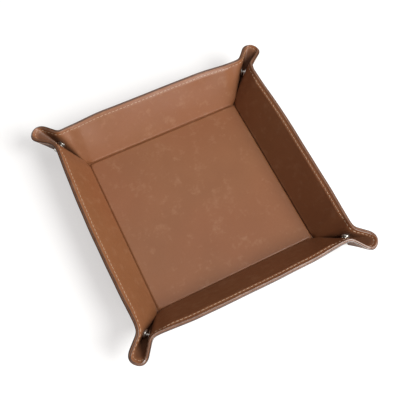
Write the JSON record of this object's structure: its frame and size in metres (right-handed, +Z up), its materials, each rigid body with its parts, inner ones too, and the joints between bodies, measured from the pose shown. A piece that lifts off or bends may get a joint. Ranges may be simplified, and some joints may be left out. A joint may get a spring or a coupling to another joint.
{
  "type": "folding dice tray",
  "caption": "Square leather dice tray with raised outward-leaning walls; each corner is pinched into an ear by a snap fastener, and it unsnaps to lie flat.",
  "frame": {"origin": "middle of the underside, where the base rests on the table", "axes": "+Z up; +X and +Y square to two neighbouring walls, with the ears on the diagonals"},
  "size_m": [0.2544, 0.2544, 0.0446],
  "materials": {
    "inner_leather": "smooth semi-matt pull-up leather, tan brown",
    "outer_leather": "smooth semi-matt leather, tan brown",
    "board": "grey-brown pressed fibre board, hidden between the leathers",
    "thread": "waxed polyester thread, light tan",
    "snap_metal": "polished nickel plate"
  },
  "bodies": {
    "base": {"base_board": "board", "base_outer_leather": "outer_leather", "base_inner_leather": "inner_leather"},
    "east_wall": {"east_wall_board": "board", "east_wall_outer_leather": "outer_leather", "east_wall_inner_leather": "inner_leather", "east_wall_stitching": "thread"},
    "north_wall": {"north_wall_board": "board", "north_wall_outer_leather": "outer_leather", "north_wall_inner_leather": "inner_leather", "north_wall_stitching": "thread"},
    "west_wall": {"west_wall_board": "board", "west_wall_outer_leather": "outer_leather", "west_wall_inner_leather": "inner_leather", "west_wall_stitching": "thread"},
    "south_wall": {"south_wall_board": "board", "south_wall_outer_leather": "outer_leather", "south_wall_inner_leather": "inner_leather", "south_wall_stitching": "thread"},
    "ne_ear_east": {"ne_ear_east_outer_leather": "outer_leather", "ne_ear_east_inner_leather": "inner_leather", "ne_snap_cap": "snap_metal", "ne_snap_socket": "snap_metal"},
    "ne_tip_east": {"ne_ear_east_tip": "outer_leather"},
    "se_ear_east": {"se_ear_east_outer_leather": "outer_leather", "se_ear_east_inner_leather": "inner_leather", "se_snap_cap": "snap_metal", "se_snap_socket": "snap_metal"},
    "se_tip_east": {"se_ear_east_tip": "outer_leather"},
    "nw_ear_north": {"nw_ear_north_outer_leather": "outer_leather", "nw_ear_north_inner_leather": "inner_leather", "nw_snap_stud": "snap_metal", "nw_snap_eyelet": "snap_metal"},
    "nw_tip_north": {"nw_ear_north_tip": "outer_leather"},
    "ne_ear_north": {"ne_ear_north_outer_leather": "outer_leather", "ne_ear_north_inner_leather": "inner_leather", "ne_snap_stud": "snap_metal", "ne_snap_eyelet": "snap_metal"},
    "ne_tip_north": {"ne_ear_north_tip": "outer_leather"},
    "sw_ear_west": {"sw_ear_west_outer_leather": "outer_leather", "sw_ear_west_inner_leather": "inner_leather", "sw_snap_cap": "snap_metal", "sw_snap_socket": "snap_metal"},
    "sw_tip_west": {"sw_ear_west_tip": "outer_leather"},
    "nw_ear_west": {"nw_ear_west_outer_leather": "outer_leather", "nw_ear_west_inner_leather": "inner_leather", "nw_snap_cap": "snap_metal", "nw_snap_socket": "snap_metal"},
    "nw_tip_west": {"nw_ear_west_tip": "outer_leather"},
    "se_ear_south": {"se_ear_south_outer_leather": "outer_leather", "se_ear_south_inner_leather": "inner_leather", "se_snap_stud": "snap_metal", "se_snap_eyelet": "snap_metal"},
    "se_tip_south": {"se_ear_south_tip": "outer_leather"},
    "sw_ear_south": {"sw_ear_south_outer_leather": "outer_leather", "sw_ear_south_inner_leather": "inner_leather", "sw_snap_stud": "snap_metal", "sw_snap_eyelet": "snap_metal"},
    "sw_tip_south": {"sw_ear_south_tip": "outer_leather"}
  },
  "joints": [
    {"name": "east_wall_fold", "type": "hinge", "parent": "base", "child": "east_wall", "pos_m": [0.086, 0, 0.0017], "axis": [0, 1, 0], "range_deg": [0, 57]},
    {"name": "north_wall_fold", "type": "hinge", "parent": "base", "child": "north_wall", "pos_m": [0, 0.086, 0.0017], "axis": [-1, 0, 0], "range_deg": [0, 57]},
    {"name": "west_wall_fold", "type": "hinge", "parent": "base", "child": "west_wall", "pos_m": [-0.086, 0, 0.0017], "axis": [0, -1, 0], "range_deg": [0, 57]},
    {"name": "south_wall_fold", "type": "hinge", "parent": "base", "child": "south_wall", "pos_m": [0, -0.086, 0.0017], "axis": [1, 0, 0], "range_deg": [0, 57]},
    {"name": "ne_ear_east_fold", "type": "hinge", "parent": "east_wall", "child": "ne_ear_east", "pos_m": [0.086, 0.086, 0.0017], "axis": [0.4755, 0.309, 0.8236], "range_deg": [0, 51.18]},
    {"name": "ne_tip_east_fold", "type": "hinge", "parent": "ne_ear_east", "child": "ne_tip_east", "pos_m": [0.086, 0.086, 0.0017], "axis": [-0.6547, -0.4824, -0.5819], "range_deg": [0, 85.03]},
    {"name": "se_ear_east_fold", "type": "hinge", "parent": "east_wall", "child": "se_ear_east", "pos_m": [0.086, -0.086, 0.0017], "axis": [-0.4755, 0.309, -0.8236], "range_deg": [0, 51.18]},
    {"name": "se_tip_east_fold", "type": "hinge", "parent": "se_ear_east", "child": "se_tip_east", "pos_m": [0.086, -0.086, 0.0017], "axis": [0.6547, -0.4824, 0.5819], "range_deg": [0, 85.03]},
    {"name": "nw_ear_north_fold", "type": "hinge", "parent": "north_wall", "child": "nw_ear_north", "pos_m": [-0.086, 0.086, 0.0017], "axis": [-0.309, 0.4755, 0.8236], "range_deg": [0, 51.18]},
    {"name": "nw_tip_north_fold", "type": "hinge", "parent": "nw_ear_north", "child": "nw_tip_north", "pos_m": [-0.086, 0.086, 0.0017], "axis": [0.4824, -0.6547, -0.5819], "range_deg": [0, 85.03]},
    {"name": "ne_ear_north_fold", "type": "hinge", "parent": "north_wall", "child": "ne_ear_north", "pos_m": [0.086, 0.086, 0.0017], "axis": [-0.309, -0.4755, -0.8236], "range_deg": [0, 51.18]},
    {"name": "ne_tip_north_fold", "type": "hinge", "parent": "ne_ear_north", "child": "ne_tip_north", "pos_m": [0.086, 0.086, 0.0017], "axis": [0.4824, 0.6547, 0.5819], "range_deg": [0, 85.03]},
    {"name": "sw_ear_west_fold", "type": "hinge", "parent": "west_wall", "child": "sw_ear_west", "pos_m": [-0.086, -0.086, 0.0017], "axis": [-0.4755, -0.309, 0.8236], "range_deg": [0, 51.18]},
    {"name": "sw_tip_west_fold", "type": "hinge", "parent": "sw_ear_west", "child": "sw_tip_west", "pos_m": [-0.086, -0.086, 0.0017], "axis": [0.6547, 0.4824, -0.5819], "range_deg": [0, 85.03]},
    {"name": "nw_ear_west_fold", "type": "hinge", "parent": "west_wall", "child": "nw_ear_west", "pos_m": [-0.086, 0.086, 0.0017], "axis": [0.4755, -0.309, -0.8236], "range_deg": [0, 51.18]},
    {"name": "nw_tip_west_fold", "type": "hinge", "parent": "nw_ear_west", "child": "nw_tip_west", "pos_m": [-0.086, 0.086, 0.0017], "axis": [-0.6547, 0.4824, 0.5819], "range_deg": [0, 85.03]},
    {"name": "se_ear_south_fold", "type": "hinge", "parent": "south_wall", "child": "se_ear_south", "pos_m": [0.086, -0.086, 0.0017], "axis": [0.309, -0.4755, 0.8236], "range_deg": [0, 51.18]},
    {"name": "se_tip_south_fold", "type": "hinge", "parent": "se_ear_south", "child": "se_tip_south", "pos_m": [0.086, -0.086, 0.0017], "axis": [-0.4824, 0.6547, -0.5819], "range_deg": [0, 85.03]},
    {"name": "sw_ear_south_fold", "type": "hinge", "parent": "south_wall", "child": "sw_ear_south", "pos_m": [-0.086, -0.086, 0.0017], "axis": [0.309, 0.4755, -0.8236], "range_deg": [0, 51.18]},
    {"name": "sw_tip_south_fold", "type": "hinge", "parent": "sw_ear_south", "child": "sw_tip_south", "pos_m": [-0.086, -0.086, 0.0017], "axis": [-0.4824, -0.6547, 0.5819], "range_deg": [0, 85.03]}
  ],
  "couplings": [
    {"joint": "north_wall_fold", "follows": "east_wall_fold", "ratio": 1},
    {"joint": "west_wall_fold", "follows": "east_wall_fold", "ratio": 1},
    {"joint": "south_wall_fold", "follows": "east_wall_fold", "ratio": 1},
    {"joint": "ne_ear_east_fold", "follows": "east_wall_fold", "ratio": 0.89703},
    {"joint": "ne_tip_east_fold", "follows": "east_wall_fold", "ratio": 1.4909},
    {"joint": "se_ear_east_fold", "follows": "east_wall_fold", "ratio": 0.89703},
    {"joint": "se_tip_east_fold", "follows": "east_wall_fold", "ratio": 1.4909},
    {"joint": "nw_ear_north_fold", "follows": "east_wall_fold", "ratio": 0.89703},
    {"joint": "nw_tip_north_fold", "follows": "east_wall_fold", "ratio": 1.4909},
    {"joint": "ne_ear_north_fold", "follows": "east_wall_fold", "ratio": 0.89703},
    {"joint": "ne_tip_north_fold", "follows": "east_wall_fold", "ratio": 1.4909},
    {"joint": "sw_ear_west_fold", "follows": "east_wall_fold", "ratio": 0.89703},
    {"joint": "sw_tip_west_fold", "follows": "east_wall_fold", "ratio": 1.4909},
    {"joint": "nw_ear_west_fold", "follows": "east_wall_fold", "ratio": 0.89703},
    {"joint": "nw_tip_west_fold", "follows": "east_wall_fold", "ratio": 1.4909},
    {"joint": "se_ear_south_fold", "follows": "east_wall_fold", "ratio": 0.89703},
    {"joint": "se_tip_south_fold", "follows": "east_wall_fold", "ratio": 1.4909},
    {"joint": "sw_ear_south_fold", "follows": "east_wall_fold", "ratio": 0.89703},
    {"joint": "sw_tip_south_fold", "follows": "east_wall_fold", "ratio": 1.4909}
  ]
}
